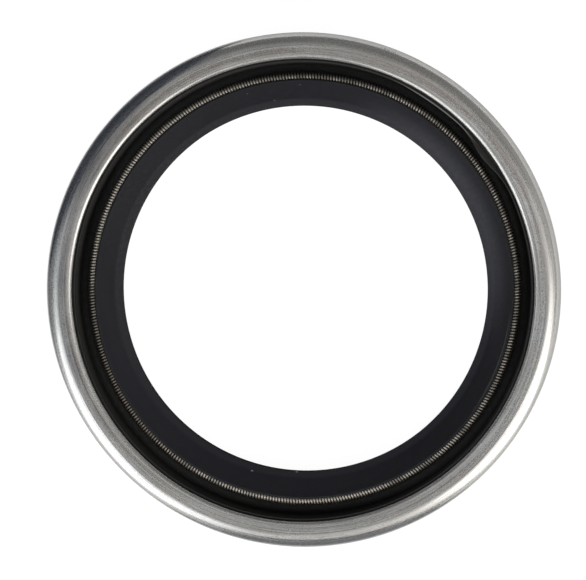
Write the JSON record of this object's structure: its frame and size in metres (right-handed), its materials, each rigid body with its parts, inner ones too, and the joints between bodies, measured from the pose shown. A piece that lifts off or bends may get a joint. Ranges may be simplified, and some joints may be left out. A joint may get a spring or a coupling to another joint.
{
  "type": "radial shaft seal",
  "caption": "Round shaft seal with a turned-in steel case, a rubber lip ring with a torn flash, and a coiled garter spring.",
  "frame": {"origin": "centre of the flat back face, on the shaft's axis", "axes": "+Z along the shaft's axis, towards the spring side"},
  "size_m": [0.1, 0.1, 0.012],
  "materials": {
    "case_steel": "bright steel with fine turning lines and a few dull stains",
    "ring_steel": "dull pressed steel",
    "seal_rubber": "matt black moulded rubber, greyer towards the lip",
    "spring_steel": "drawn steel wire, warm grey"
  },
  "bodies": {
    "root": {"outer_case": "case_steel", "inner_case": "ring_steel", "sealing_element": "seal_rubber", "garter_spring": "spring_steel"}
  },
  "joints": []
}
